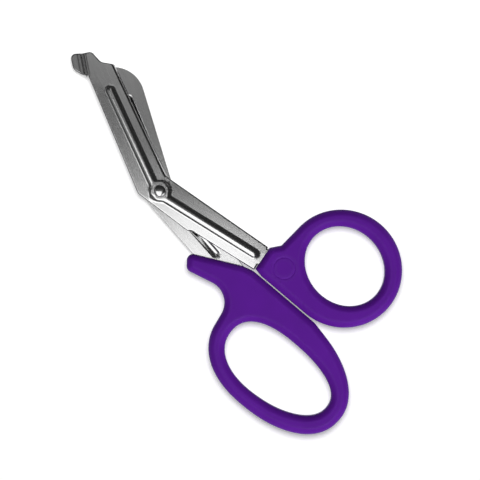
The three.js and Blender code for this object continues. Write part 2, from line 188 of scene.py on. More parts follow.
SHANK_SPLAY = math.degrees(math.asin((SHANK_INNER + HANDLE_GAP / 2) / HANDLE_REACH))
lower_blade_place = placer(LOWER_DIRECTION)
lower_shank_place = placer(-90 + SHANK_SPLAY)
upper_blade_place = placer(UPPER_DIRECTION)
upper_shank_place = placer(-90 - SHANK_SPLAY)
crease_start = lower_blade_place(LOWER_LENGTH - SPINE_END["crease_setback"], LOWER_SPINE["tip"])
crease_place = placer(LOWER_DIRECTION - CREASE_TURN, crease_start)


def rounded(corners, arc_step=6.0):
    """Closed outline through corners (point, radius), each corner rounded by an arc."""
    outline = []
    for i, (corner, radius) in enumerate(corners):
        before, radius_before = corners[i - 1]
        after, radius_after = corners[(i + 1) % len(corners)]
        arriving, leaving = corner - before, after - corner
        arriving_length, leaving_length = np.linalg.norm(arriving), np.linalg.norm(leaving)
        turn = math.atan2(arriving[0] * leaving[1] - arriving[1] * leaving[0], arriving @ leaving)
        half_tan = math.tan(abs(turn) / 2)
        room = min(
            (0.49 if radius_before else 0.98) * arriving_length,
            (0.49 if radius_after else 0.98) * leaving_length)
        fitted = min(radius, room / max(half_tan, 1e-9))
        if fitted < 0.01:
            outline.append(corner)
            continue
        way = arriving / arriving_length
        start = corner - way * fitted * half_tan
        centre = start + math.copysign(fitted, turn) * np.array([-way[1], way[0]])
        steps = max(2, math.ceil(abs(math.degrees(turn)) / arc_step))
        for k in range(steps + 1):
            c, s = math.cos(turn * k / steps), math.sin(turn * k / steps)
            outline.append(centre + np.array([[c, -s], [s, c]]) @ (start - centre))
    return np.array(outline)


def circle(radius, centre, count=48):
    angles = np.arange(count) * 2 * math.pi / count
    return np.asarray(centre) + radius * np.column_stack([np.cos(angles), np.sin(angles)])


def ordered(loop, counter_clockwise):
    x, y = loop.T
    area = np.sum(x * np.roll(y, -1) - np.roll(x, -1) * y) / 2
    return loop if (area > 0) == counter_clockwise else loop[::-1]


def resampled(loop, spacing):
    """The loop with its long sides divided, so that no side is longer than the spacing."""
    points = []
    for a, b in zip(loop, np.roll(loop, -1, axis=0)):
        parts = max(1, math.ceil(np.linalg.norm(b - a) / spacing - 1e-6))
        points.extend(a + (b - a) * k / parts for k in range(parts))
    return np.array(points)


def smoothed(loop, spacing, straight=6.0, sharp=25.0):
    """A faceted loop's smooth original: a spline through its points, with its sharp corners kept."""
    points = []
    for a, b in zip(loop, np.roll(loop, -1, axis=0)):
        side = np.linalg.norm(b - a)
        parts = max(1, round(side / 1.5)) if side > straight else 1
        points.extend(a + (b - a) * k / parts for k in range(parts))
    points = np.array(points)
    step = np.roll(points, -1, axis=0) - points
    heading = np.degrees(np.arctan2(step[:, 1], step[:, 0]))
    turn = (heading - np.roll(heading, 1) + 180) % 360 - 180
    corner = np.abs(turn) > sharp
    result = []
    count = len(points)
    for i in range(count):
        start, end = points[i], points[(i + 1) % count]
        before = 2 * start - end if corner[i] else points[i - 1]
        after = 2 * end - start if corner[(i + 1) % count] else points[(i + 2) % count]
        result += spline_stretch((before, start, end, after), spacing)
    return np.array(result)


def spline_stretch(corners, spacing):
    """Points of a centripetal spline from the second of four corners up to the third."""
    gaps = [max(np.linalg.norm(b - a), 1e-6) ** 0.5 for a, b in zip(corners, corners[1:])]
    knots = np.cumsum([0] + gaps)
    parts = max(1, math.ceil(np.linalg.norm(corners[2] - corners[1]) / spacing))
    stretch = []
    for t in knots[1] + (knots[2] - knots[1]) * np.arange(parts) / parts:
        first = [between(corners[k], corners[k + 1], knots[k], knots[k + 1], t) for k in range(3)]
        second = [between(first[k], first[k + 1], knots[k], knots[k + 2], t) for k in range(2)]
        stretch.append(between(*second, knots[1], knots[2], t))
    return stretch


def between(p, q, t0, t1, t):
    return p + (q - p) * (t - t0) / (t1 - t0)


def segments(loops):
    starts = np.vstack(loops)
    ends = np.vstack([np.roll(loop, -1, axis=0) for loop in loops])
    return starts, ends


def edge_distance(points, loops, chunk=2000):
    """Distance from each point to the nearest side of the loops."""
    a, b = segments(loops)
    run = b - a
    length2 = np.sum(run * run, axis=1)
    result = np.empty(len(points))
    for k in range(0, len(points), chunk):
        offset = points[k:k + chunk, None, :] - a
        share = np.clip(np.einsum("ijk,jk->ij", offset, run) / length2, 0, 1)
        gap = offset - share[..., None] * run
        result[k:k + chunk] = np.sqrt(np.min(np.einsum("ijk,ijk->ij", gap, gap), axis=1))
    return result


def inside(points, loops, chunk=4000):
    """Whether each point is in the outline and out of its holes, by counting crossings."""
    a, b = segments(loops)
    result = np.empty(len(points), bool)
    for k in range(0, len(points), chunk):
        x, y = points[k:k + chunk, 0, None], points[k:k + chunk, 1, None]
        spans = (a[:, 1] > y) != (b[:, 1] > y)
        rise = np.where(b[:, 1] == a[:, 1], 1e-12, b[:, 1] - a[:, 1])
        crossing = a[:, 0] + (y - a[:, 1]) / rise * (b[:, 0] - a[:, 0])
        result[k:k + chunk] = np.sum(spans & (crossing > x), axis=1) % 2 == 1
    return result


def capsule_distance(points, place, start, end, left):
    """Distance from each point to the line between two places along a direction."""
    along, across = place.read(points)
    over = along - np.clip(along, start, end)
    return np.hypot(over, across - left)


def smoothstep(x, low, high):
    t = np.clip((x - low) / (high - low), 0, 1)
    return t * t * (3 - 2 * t)


# ---------------------------------------------------------------- meshes

def plan_points(loops, rings, lattice):
    """Points of a plate's plan: its rim first, then rings inside the rim, then a lattice."""
    rim = np.vstack(loops)
    normals = np.vstack([loop_normals(loop) for loop in loops])
    offsets = np.vstack([rim + normals * ring for ring in rings])
    limits = np.repeat(rings, len(rim))
    keep = edge_distance(offsets, loops) > 0.97 * limits
    lattice = lattice[inside(lattice, loops)]
    lattice = lattice[edge_distance(lattice, loops) > rings[-1] + 0.12]
    return np.vstack([rim, offsets[keep & inside(offsets, loops)], lattice]), normals


def triangulated(plan, sides, loops):
    """The plan's points and its counter-clockwise triangles, within the outline and out of its holes."""
    made, _, faces, *_ = geometry.delaunay_2d_cdt([Vector(p) for p in plan], sides, [], 0, 1e-5)
    plan = np.array([tuple(p) for p in made])
    faces = np.array([f for f in faces if len(f) == 3])
    faces = faces[inside(plan[faces].mean(axis=1), loops)]
    a, b, c = (plan[faces[:, k]] for k in range(3))
    flipped = (b - a)[:, 0] * (c - a)[:, 1] - (b - a)[:, 1] * (c - a)[:, 0] < 0
    faces[flipped] = faces[flipped][:, ::-1]
    return plan, faces


def plate(name, loops, rings, lattice, top, bottom, wall=(), grain=None):
    """Closed piece over a plan outline: top and bottom give its height at points and their edge distances.

    The wall's rows between top and bottom are given by their share of the way down and their swell.
    """
    loops = [ordered(loop, k == 0) for k, loop in enumerate(loops)]
    sides, rim_count = [], 0
    for loop in loops:
        sides += [(rim_count + k, rim_count + (k + 1) % len(loop)) for k in range(len(loop))]
        rim_count += len(loop)
    plan, normals = plan_points(loops, rings, lattice)
    plan, faces = triangulated(plan, sides, loops)
    gap = edge_distance(plan, loops)
    gap[:rim_count] = 0
    count = len(plan)
    upper = np.column_stack([plan, top(plan, gap)])
    lower = np.column_stack([plan, bottom(plan, gap)])
    points = [upper, lower]
    rim = np.arange(rim_count)
    rows = [rim]
    for number, (share, swell) in enumerate(wall):
        ring = upper[:rim_count] * (1 - share) + lower[:rim_count] * share
        ring[:, :2] -= normals * swell
        points.append(ring)
        rows.append(2 * count + number * rim_count + rim)
    rows.append(count + rim)
    polygons = [tuple(map(int, f)) for f in faces]
    polygons += [tuple(int(count + v) for v in f[::-1]) for f in faces]
    for above, below in zip(rows, rows[1:]):
        polygons += [(int(above[i]), int(below[i]), int(below[j]), int(above[j])) for i, j in sides]
    everything = np.vstack(points) * MM
    mesh = bpy.data.meshes.new(name)
    mesh.from_pydata([tuple(p) for p in everything], [], polygons)
    mesh.validate()
    if grain is not None:
        layer = mesh.uv_layers.new(name="grain")
        corner = np.empty(len(mesh.loops), int)
        mesh.loops.foreach_get("vertex_index", corner)
        layer.data.foreach_set("uv", grain(everything[corner, :2] / MM).astype(np.float32).ravel())
    return finished(name, mesh, 42)


def finished(name, mesh, sharp):
    """The mesh as a piece of the scene, shaded smooth except at edges sharper than this angle."""
    mesh.shade_smooth()
    mesh.set_sharp_from_angle(angle=math.radians(sharp))
    piece = bpy.data.objects.new(name, mesh)
    bpy.context.scene.collection.objects.link(piece)
    return piece


def loop_normals(loop):
    """Unit normals of a loop's points, to its left: into the plate, for outlines and holes alike."""
    step = np.roll(loop, -1, axis=0) - loop
    step /= np.linalg.norm(step, axis=1)[:, None]
    both = step + np.roll(step, 1, axis=0)
    both /= np.maximum(np.linalg.norm(both, axis=1), 1e-9)[:, None]
    return np.column_stack([-both[:, 1], both[:, 0]])


def hex_lattice(loops, pitch):
    low, high = np.vstack(loops).min(axis=0), np.vstack(loops).max(axis=0)
    rows = np.arange(low[1], high[1], pitch * 0.866)
    columns = np.arange(low[0], high[0], pitch)
    return np.array([(x + pitch / 2 * (k % 2), y) for k, y in enumerate(rows) for x in columns])


def blade_lattice(blade, shank):
    """Points in rows along the blade and the shank, close together across them."""
    along, across = np.meshgrid(np.arange(0.15, TANG_END + 4.2, 0.7), np.arange(-14, 14, 0.3))
    result = []
    for place, other in ((blade, shank), (shank, blade)):
        points = place(along.ravel(), across.ravel())
        result.append(points[place.read(points)[0] > other.read(points)[0] + 0.3])
    return np.vstack(result)


def bump(distance, width, foot=0.05):
    """1 at the middle of a rib and 0 outside it: a round crown with a small fillet at its foot."""
    crown = np.clip(1 - (2 * distance / width) ** 2, 0, 1)
    return (crown - foot * (1 - np.exp(-crown / foot))) / (1 - foot)


def step_down(distance, radius, run):
    """1 inside a round boss and 0 outside it, with a soft flank."""
    return 1 - smoothstep(distance, radius - run, radius)


# ---------------------------------------------------------------- blades

def tang_end(shank, left, right):
    return [(shank(TANG_END, right), TANG_END_RADIUS), (shank(TANG_END, left), TANG_END_RADIUS)]


def lower_outline():
    blade, shank, crease = lower_blade_place, lower_shank_place, crease_place
    shoulder = HANDLE_REACH - FIT_CLEARANCE
    jog_end = LOWER_SHANK["jog"] + LOWER_SHANK["jog_run"]
    return rounded([
        *tang_end(shank, LOWER_TANG["outer"], -LOWER_TANG["inner"]),
        (shank(shoulder, LOWER_TANG["outer"]), 0),
        (shank(shoulder, LOWER_SHANK["outer"]), FILLET["shoulder"]),
        (blade(LOWER_EDGE["heel"], -LOWER_EDGE["root"]), FILLET["elbow"]),
        (blade(LOWER_LENGTH, -LOWER_EDGE["tip"]), FILLET["corner"]),
        (blade(LOWER_LENGTH + BLUNT_TIP["overrun"], BLUNT_TIP["left"]), BLUNT_TIP["radius"]),
        (crease(CREASE_LENGTH + TIP_HOLLOW["overrun"], TIP_HOLLOW["left"]), TIP_HOLLOW["radius"]),
        (crease(CREASE_LENGTH + FOOT_ROOT["overrun"], FOOT_ROOT["left"]), FOOT_TOE_RADIUS),
        (crease(CREASE_LENGTH + FOOT_OVERHANG, FOOT_DEPTH), FOOT_TOE_RADIUS),
        (crease(FOOT_HEEL["along"], FOOT_DEPTH), FOOT_HEEL["radius"]),
        (crease(FOOT_NOTCH["along"], FOOT_NOTCH["left"]), FOOT_NOTCH["radius"]),
        (crease(FOOT_SLIT["along"], FOOT_SLIT["left"]), 0),
        (crease_start, 0),
        (blade(LOWER_LENGTH - SPINE_END["setback"], LOWER_SPINE["tip"]), FILLET["corner"]),
        (blade(LOWER_SPINE["heel"], LOWER_SPINE["root"]), FILLET["heel"]),
        (shank(LOWER_SHANK["jog"], -LOWER_SHANK["jog_inner"]), FILLET["jog_start"]),
        (shank(jog_end, -SHANK_INNER), FILLET["jog_end"]),
        (shank(shoulder, -SHANK_INNER), FILLET["shoulder"]),
        (shank(shoulder, -LOWER_TANG["inner"]), 0),
    ])


def serrations():
    teeth = []
    serrated = UPPER_LENGTH - UPPER_EDGE["heel"] - SERRATION_MARGIN["heel"]
    for k in range(int(serrated / SERRATION_PITCH)):
        crest = UPPER_LENGTH - SERRATION_MARGIN["tip"] - k * SERRATION_PITCH
        teeth.append((upper_blade_place(crest, UPPER_EDGE["root"]), 0))
        root = crest - SERRATION_PITCH / 2
        teeth.append((upper_blade_place(root, UPPER_EDGE["root"] - SERRATION_DEPTH), 0))
    return teeth


def upper_outline():
    blade, shank = upper_blade_place, upper_shank_place
    taper_start = HANDLE_REACH - TANG_TAPER
    return rounded([
        *tang_end(shank, UPPER_TANG["inner"], -UPPER_TANG["outer"]),
        (shank(HANDLE_REACH, UPPER_TANG["inner"]), UPPER_FILLET["tang"]),
        (shank(taper_start, UPPER_SHANK["inner"]), UPPER_FILLET["tang"]),
        (blade(UPPER_SPINE["heel"], -UPPER_SPINE["root"]), UPPER_FILLET["elbow"]),
        (blade(UPPER_LENGTH, -UPPER_SPINE["tip"]), UPPER_TIP_RADIUS),
        (blade(UPPER_LENGTH, UPPER_EDGE["root"]), 0),
        *serrations(),
        (blade(UPPER_EDGE["heel"], UPPER_EDGE["root"]), UPPER_FILLET["edge_heel"]),
        (shank(0, -UPPER_SHANK["outer"]), UPPER_FILLET["elbow"]),
        (shank(taper_start, -UPPER_SHANK["outer"]), UPPER_FILLET["tang"]),
        (shank(HANDLE_REACH, -UPPER_TANG["outer"]), UPPER_FILLET["tang"]),
    ])


def bores(shank):
    """The rivet's bore and the lock hole in a tang."""
    lock_hole = shank(TANG_END - LOCK_HOLE_SETBACK, 0)
    return [circle(BORE_RADIUS, (0, 0)), circle(LOCK_HOLE_RADIUS, lock_hole)]


def ribs_pressed(points, ribs):
    """How far the sheet is pressed out at each point, from 0 to 1: the ribs and the boss, run together."""
    unpressed = 1 - step_down(np.hypot(*points.T), BOSS_RADIUS, BOSS_FLANK)
    for place, rib in ribs:
        distance = capsule_distance(points, place, RIB_WIDTH / 2, rib["end"] - RIB_WIDTH / 2, rib["left"])
        unpressed *= 1 - bump(distance, RIB_WIDTH)
    return 1 - unpressed


def grooves_pressed(points, ribs):
    """How deep the grooves are at each point, from 0 to 1: they start beside the pivot's pad."""
    level = np.ones(len(points))
    for place, rib in ribs:
        start = PAD_RADIUS + GROOVE_WIDTH / 2
        end = rib["end"] - GROOVE_SETBACK - GROOVE_WIDTH / 2
        level *= 1 - bump(capsule_distance(points, place, start, end, rib["left"]), GROOVE_WIDTH)
    return 1 - level


def foot_curve(offset):
    """Distance left of the crease and drop of the foot's sheet, for a face this far above its middle."""
    bend_length = math.radians(FOOT_SLOPE) * FOOT_BEND_RADIUS
    lip_bend_length = math.radians(FOOT_SLOPE - FOOT_LIP_SLOPE) * FOOT_LIP_RADIUS
    stretches = [
        (0, FOOT_SLOPE, bend_length, 14),
        (FOOT_SLOPE, FOOT_SLOPE, FOOT_STRAIGHT, 4),
        (FOOT_SLOPE, FOOT_LIP_SLOPE, lip_bend_length, 30),
        (FOOT_LIP_SLOPE, FOOT_LIP_SLOPE, FOOT_LIP_LENGTH, 2),
    ]
    angles = np.radians(np.concatenate([np.linspace(a, b, steps) for a, b, _, steps in stretches]))
    lengths = np.concatenate([np.full(steps, length / steps) for _, _, length, steps in stretches])
    along = FOOT_BEND_START + np.cumsum(lengths * np.cos(angles)) + offset * np.sin(angles)
    drop = np.cumsum(lengths * np.sin(angles)) - offset * (np.cos(angles) - 1)
    return np.concatenate([[-50], along]), np.concatenate([[0], drop])


def foot_drop(points, offset):
    along, left = crease_place.read(points)
    return np.interp(left, *foot_curve(offset)) * smoothstep(along, -0.1, 0.5)


def rim_drop(gap, width):
    """How far a broken edge falls below the face, for a distance from the outline."""
    inset = np.clip(width - gap, 0, width)
    return 0.6 * inset + 0.15 * (width - np.sqrt(width ** 2 - inset ** 2))


def leaf_drop(points, place, rib_left, left_fall, right_fall):
    """Each side of a rib falls away evenly from it, by this many degrees."""
    _, across = place.read(points)
    side = across - rib_left
    flat = np.maximum(np.abs(side) - RIB_WIDTH / 2, 0)
    return flat * np.tan(np.radians(np.where(side > 0, left_fall, right_fall)))


def grain_map(blade, shank):
    """Lengthwise and crosswise places on a blade, for its brushing."""
    def read(points):
        on_blade = blade.read(points)[0] > shank.read(points)[0]
        (a, b), (c, d) = blade.read(points), shank.read(points)
        return np.column_stack([np.where(on_blade, a, c), np.where(on_blade, b, d)])
    return read


def sheet_level(node, face):
    """Height of a flat face of a blade, from the lowest point of its ribs."""
    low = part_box(node)[0][2] / MM + RIB_HEIGHT
    return low + SHEET if face == "top" else low


def lower_blade():
    blade, shank = lower_blade_place, lower_shank_place
    bottom_z = sheet_level("upper_blade", "top") + BLADE_GAP
    ribs = [(blade, LOWER_RIB), (shank, LOWER_SHANK_RIB)]
    edge_taper = (LOWER_EDGE["root"] - LOWER_EDGE["tip"]) / (LOWER_LENGTH - LOWER_EDGE["heel"])

    def bevel(along, across):
        edge = across + LOWER_EDGE["root"] - (along - LOWER_EDGE["heel"]) * edge_taper
        heel = smoothstep(along, LOWER_EDGE["heel"] - 0.5, LOWER_EDGE["heel"] + 2)
        ends = heel * (along < LOWER_LENGTH + 0.2)
        return LOWER_BEVEL_DROP * np.clip(1 - edge / EDGE_BEVEL_WIDTH, 0, 1) * ends

    def flat_fall(points, along):
        on_blade = smoothstep(along - shank.read(points)[0], -3, 3)
        twist = smoothstep(along, TWIST["start"], TWIST["full"])
        twist = BLADE_FALL["twist"] * twist * (1 - smoothstep(along, TWIST["fade"], TWIST["end"]))
        spine, edge = BLADE_FALL["spine"] + twist, BLADE_FALL["edge"] + twist
        blade_fall = leaf_drop(points, blade, LOWER_RIB["left"], spine, edge)
        outer, inner = SHANK_FALL["outer"], SHANK_FALL["inner"]
        shank_fall = leaf_drop(points, shank, LOWER_SHANK_RIB["left"], outer, inner)
        return on_blade * blade_fall + (1 - on_blade) * shank_fall

    def top(points, gap):
        along, across = blade.read(points)
        rise = RIB_HEIGHT * ribs_pressed(points, ribs)
        fall = bevel(along, across) + flat_fall(points, along)
        return bottom_z + SHEET + rise - fall - rim_drop(gap, OUTER_EDGE) - foot_drop(points, SHEET / 2)

    def bottom(points, gap):
        rise = GROOVE_DEPTH * grooves_pressed(points, ribs) + rim_drop(gap, INNER_EDGE)
        return bottom_z + rise - foot_drop(points, -SHEET / 2)

    loops = [resampled(lower_outline(), 0.55), *bores(shank)]
    rings = (0.04, 0.12, 0.25, OUTER_EDGE, 0.6)
    grain = grain_map(blade, shank)
    lattice = blade_lattice(blade, shank)
    return plate("lower_blade_pressing", loops, rings, lattice, top, bottom, grain=grain)


def upper_blade():
    blade, shank = upper_blade_place, upper_shank_place
    bottom_z = sheet_level("upper_blade", "bottom")
    ribs = [(blade, UPPER_RIB), (shank, UPPER_SHANK_RIB)]

    def bevel(points):
        along, across = blade.read(points)
        edge = UPPER_EDGE["root"] - across
        heel = smoothstep(along, UPPER_EDGE["heel"] - 1, UPPER_EDGE["heel"] + 2)
        return UPPER_BEVEL_DROP * np.clip(1 - edge / EDGE_BEVEL_WIDTH, 0, 1) * heel

    def top(points, gap):
        return bottom_z + SHEET - GROOVE_DEPTH * grooves_pressed(points, ribs) - rim_drop(gap, INNER_EDGE)

    def bottom(points, gap):
        drop = RIB_HEIGHT * ribs_pressed(points, ribs)
        return bottom_z - drop + bevel(points) + rim_drop(gap, UNDER_EDGE)

    loops = [resampled(upper_outline(), 0.6), *bores(shank)]
    rings = (0.04, 0.1, 0.18, UNDER_EDGE, 0.5)
    grain = grain_map(blade, shank)
    lattice = blade_lattice(blade, shank)
    return plate("upper_blade_pressing", loops, rings, lattice, top, bottom, grain=grain)


# ---------------------------------------------------------------- rivet

def rivet_profile():
    """Radius and height along the rivet's side, from the middle of its tail to the middle of its head."""
    low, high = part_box("pivot_rivet")
    base, crown = low[2] / MM, high[2] / MM
    seat, chamfer = crown - HEAD_HEIGHT, RIVET_CHAMFER
    dimple = [(0, base + 0.12), (1.2, base + 0.1), (1.6, base)]
    tail_top = base + TAIL_THICKNESS
    tail = [
        (TAIL_RADIUS - 0.4, base), (TAIL_RADIUS - chamfer, base + chamfer), (TAIL_RADIUS, base + 0.3),
        (TAIL_RADIUS, tail_top - chamfer), (TAIL_RADIUS - chamfer, tail_top),
    ]
    pin = [(PIN_RADIUS, tail_top), (PIN_RADIUS, seat)]
    rim = [(HEAD_RADIUS - 0.2, seat), (HEAD_RADIUS - 0.05, seat + 0.08)]
    dome = []
    for k in range(15):
        angle = math.radians(90 * k / 14)
        radius = HEAD_RADIUS * math.cos(angle) ** 0.9 if k < 14 else 0
        dome.append((radius, seat + HEAD_RIM + (HEAD_HEIGHT - HEAD_RIM) * math.sin(angle)))
    return dimple + tail + pin + rim + dome


def rivet(count=96):
    """Turned rivet with a domed head, between the CAD rivet's own levels."""
    profile = rivet_profile()
    points = []
    for radius, z in profile[1:-1]:
        for k in range(count):
            angle = 2 * math.pi * k / count
            points.append((radius * math.cos(angle), radius * math.sin(angle), z))
    points += [(0, 0, profile[0][1]), (0, 0, profile[-1][1])]
    tail_middle, head_middle = len(points) - 2, len(points) - 1
    last_row = tail_middle - count
    faces = []
    for k in range(count):
        after = (k + 1) % count
        for row in range(0, last_row, count):
            faces.append((row + k, row + after, row + count + after, row + count + k))
        faces.append((tail_middle, after, k))
        faces.append((head_middle, last_row + k, last_row + after))
    mesh = bpy.data.meshes.new("rivet_turned")
    mesh.from_pydata([tuple(v * MM for v in p) for p in points], [], faces)
    return finished("rivet_turned", mesh, 40)


# ---------------------------------------------------------------- handles

def slice_loops(node, level):
    """Closed loops where a level plane cuts a CAD node, longest first."""
    work = bmesh.new()
    work.from_mesh(bpy.data.objects[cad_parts[node].name].data)
    bmesh.ops.remove_doubles(work, verts=work.verts[:], dist=1e-7)
    cut = bmesh.ops.bisect_plane(
        work, geom=work.verts[:] + work.edges[:] + work.faces[:], dist=1e-7,
        plane_co=(0, 0, level * MM), plane_no=(0, 0, 1))
    edges = {e for e in cut["geom_cut"] if isinstance(e, bmesh.types.BMEdge)}
    loops = []
    while edges:
        edge = edges.pop()
        start, here = edge.verts
        loop = [start]
        while here != start:
            loop.append(here)
            edge = next(e for e in here.link_edges if e in edges)
            edges.discard(edge)
            here = edge.other_vert(here)
        loops.append(np.array([v.co.xy[:] for v in loop]) / MM)
    work.free()
    loops = [without_straight_points(loop) for loop in loops]
    return sorted(loops, key=lambda loop: -np.sum(np.linalg.norm(np.roll(loop, -1, axis=0) - loop, axis=1)))


def without_straight_points(loop):
    """The loop without points that lie on a straight line between their neighbours."""
    before, after = np.roll(loop, 1, axis=0), np.roll(loop, -1, axis=0)
    span, offset = after - before, loop - before
    area = np.abs(span[:, 0] * offset[:, 1] - span[:, 1] * offset[:, 0])
    off_line = area / np.maximum(np.linalg.norm(span, axis=1), 1e-9)
    return loop[off_line > 0.004]


def handle(node, name, level, mark=None):
    """Moulded handle over the CAD handle's outline, with rounded edges and a parting line."""
    low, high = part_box(node)
    bottom_z, top_z = low[2] / MM, high[2] / MM
    loops = [smoothed(loop, 0.8) for loop in slice_loops(node, level)[:2]]

    def from_ring(points):
        return np.abs(np.hypot(*(points - mark).T) - WITNESS_RADIUS)

    def round_over(gap):
        t = np.clip(1 - gap / ROUND_WIDTH, 0, 1)
        return ROUND_DEPTH * (1 - (1 - t ** ROUND_FULLNESS) ** (1 / ROUND_FULLNESS))

    def top(points, gap):
        drop = round_over(gap)
        if mark is not None:
            drop = drop + WITNESS_DEPTH * (1 - smoothstep(from_ring(points), 0.05, 0.4))
        return top_z - drop

    def bottom(points, gap):
        return bottom_z + round_over(gap)

    lattice = hex_lattice(loops, 1.1)
    if mark is not None:
        steps = (-0.5, -0.3, -0.15, 0, 0.15, 0.3, 0.5)
        circles = [circle(WITNESS_RADIUS + step, mark, 60) for step in steps]
        lattice = np.vstack([lattice[from_ring(lattice) > 0.8], *circles])
    rings = (0.03, 0.12, 0.28, 0.5, 0.8, 1.15, 1.5, 1.85, 2.2, ROUND_WIDTH, 3.1)
    shares = (0.44, 0.47, 0.49, 0.51, 0.53, 0.56)
    wall = [(share, PARTING_RIDGE if abs(share - 0.5) < 0.02 else 0) for share in shares]
    return plate(name, loops, rings, lattice, top, bottom, wall)


# ---------------------------------------------------------------- materials

def new_material(name):
    material = bpy.data.materials.new(name)
    material.use_nodes = True
    nodes = material.node_tree.nodes
    return material, nodes, material.node_tree.links, nodes["Principled BSDF"]


def ramp(nodes, low, high, colours):
    node = nodes.new("ShaderNodeValToRGB")
    node.color_ramp.elements[0].position = low
    node.color_ramp.elements[1].position = high
    for element, colour in zip(node.color_ramp.elements, colours):
        element.color = (*colour, 1)
    return node


def noise(nodes, links, vector, scale, detail=3.0, roughness=0.55):
    node = nodes.new("ShaderNodeTexNoise")
    node.inputs["Scale"].default_value = scale
    node.inputs["Detail"].default_value = detail
    node.inputs["Roughness"].default_value = roughness
    links.new(vector, node.inputs["Vector"])
    return node


def brushed_steel(name, tone, roughness):
    """Steel with fine crosswise brushing, faint long stains and a slightly uneven polish."""
    material, nodes, links, shader = new_material(name)
    shader.inputs["Metallic"].default_value = 1.0
    shader.inputs["Anisotropic"].default_value = 0.35
    uv = nodes.new("ShaderNodeUVMap")
    uv.uv_map = "grain"
    stretch = nodes.new("ShaderNodeMapping")
    stretch.inputs["Scale"].default_value = (3.2, 0.16, 1.0)
    links.new(uv.outputs["UV"], stretch.inputs["Vector"])
    fine = noise(nodes, links, stretch.outputs["Vector"], 2.4, 4.0, 0.7)
    stains = nodes.new("ShaderNodeMapping")
    stains.inputs["Scale"].default_value = (0.05, 0.35, 1.0)
    links.new(uv.outputs["UV"], stains.inputs["Vector"])
    cloudy = noise(nodes, links, stains.outputs["Vector"], 1.6, 3.0, 0.5)
    mix = nodes.new("ShaderNodeMix")
    mix.data_type = "FLOAT"
    mix.inputs["Factor"].default_value = 0.45
    links.new(fine.outputs["Fac"], mix.inputs["A"])
    links.new(cloudy.outputs["Fac"], mix.inputs["B"])
    shades = ramp(nodes, 0.3, 0.7, ([tone * 0.89] * 3, [tone * 1.05] * 3))
    links.new(mix.outputs["Result"], shades.inputs["Fac"])
    links.new(shades.outputs["Color"], shader.inputs["Base Color"])
    rough = nodes.new("ShaderNodeMapRange")
    rough.inputs["From Min"].default_value = 0.3
    rough.inputs["From Max"].default_value = 0.7
    rough.inputs["To Min"].default_value = roughness - 0.03
    rough.inputs["To Max"].default_value = roughness + 0.03
    links.new(fine.outputs["Fac"], rough.inputs["Value"])
    links.new(rough.outputs["Result"], shader.inputs["Roughness"])
    relief = nodes.new("ShaderNodeBump")
    relief.inputs["Strength"].default_value = 0.12
    relief.inputs["Distance"].default_value = 0.00002
    links.new(fine.outputs["Fac"], relief.inputs["Height"])
    links.new(relief.outputs["Normal"], shader.inputs["Normal"])
    tangent = nodes.new("ShaderNodeTangent")
    tangent.direction_type = "UV_MAP"
    tangent.uv_map = "grain"
    links.new(tangent.outputs["Tangent"], shader.inputs["Tangent"])
    return material


def polished_steel(name):
    """Rivet steel: brighter and smoother, with faint turning marks round its axis."""
    material, nodes, links, shader = new_material(name)
    shader.inputs["Metallic"].default_value = 1.0
    place = nodes.new("ShaderNodeTexCoord")
    rings = nodes.new("ShaderNodeTexWave")
    rings.wave_type = "RINGS"
    rings.rings_direction = "Z"
    rings.inputs["Scale"].default_value = 900.0
    rings.inputs["Distortion"].default_value = 1.5
    links.new(place.outputs["Object"], rings.inputs["Vector"])
    shades = ramp(nodes, 0.0, 1.0, ((0.50, 0.50, 0.50), (0.62, 0.62, 0.62)))
    links.new(rings.outputs["Fac"], shades.inputs["Fac"])
    links.new(shades.outputs["Color"], shader.inputs["Base Color"])
    rough = nodes.new("ShaderNodeMapRange")
    rough.inputs["To Min"].default_value = 0.17
    rough.inputs["To Max"].default_value = 0.24
    links.new(rings.outputs["Fac"], rough.inputs["Value"])
    links.new(rough.outputs["Result"], shader.inputs["Roughness"])
    return material


def moulded_plastic(name, colour):
    """Satin moulded plastic: fine moulding texture, slight cloudiness and handling marks."""
    material, nodes, links, shader = new_material(name)
    shader.inputs["Specular IOR Level"].default_value = 0.16
    place = nodes.new("ShaderNodeTexCoord")
    cloudy = noise(nodes, links, place.outputs["Object"], 70.0, 2.0, 0.5)
    shades = ramp(nodes, 0.3, 0.7, ([c * 0.94 for c in colour], [c * 1.05 for c in colour]))
    links.new(cloudy.outputs["Fac"], shades.inputs["Fac"])
    links.new(shades.outputs["Color"], shader.inputs["Base Color"])
    fine = noise(nodes, links, place.outputs["Object"], 2600.0, 2.0, 0.6)
    rough = nodes.new("ShaderNodeMapRange")
    rough.inputs["From Min"].default_value = 0.3
    rough.inputs["From Max"].default_value = 0.7
    rough.inputs["To Min"].default_value = 0.36
    rough.inputs["To Max"].default_value = 0.46
    links.new(cloudy.outputs["Fac"], rough.inputs["Value"])
    links.new(rough.outputs["Result"], shader.inputs["Roughness"])
    relief = nodes.new("ShaderNodeBump")
    relief.inputs["Strength"].default_value = 0.12
    relief.inputs["Distance"].default_value = 0.00003
    links.new(fine.outputs["Fac"], relief.inputs["Height"])
    links.new(relief.outputs["Normal"], shader.inputs["Normal"])
    return material


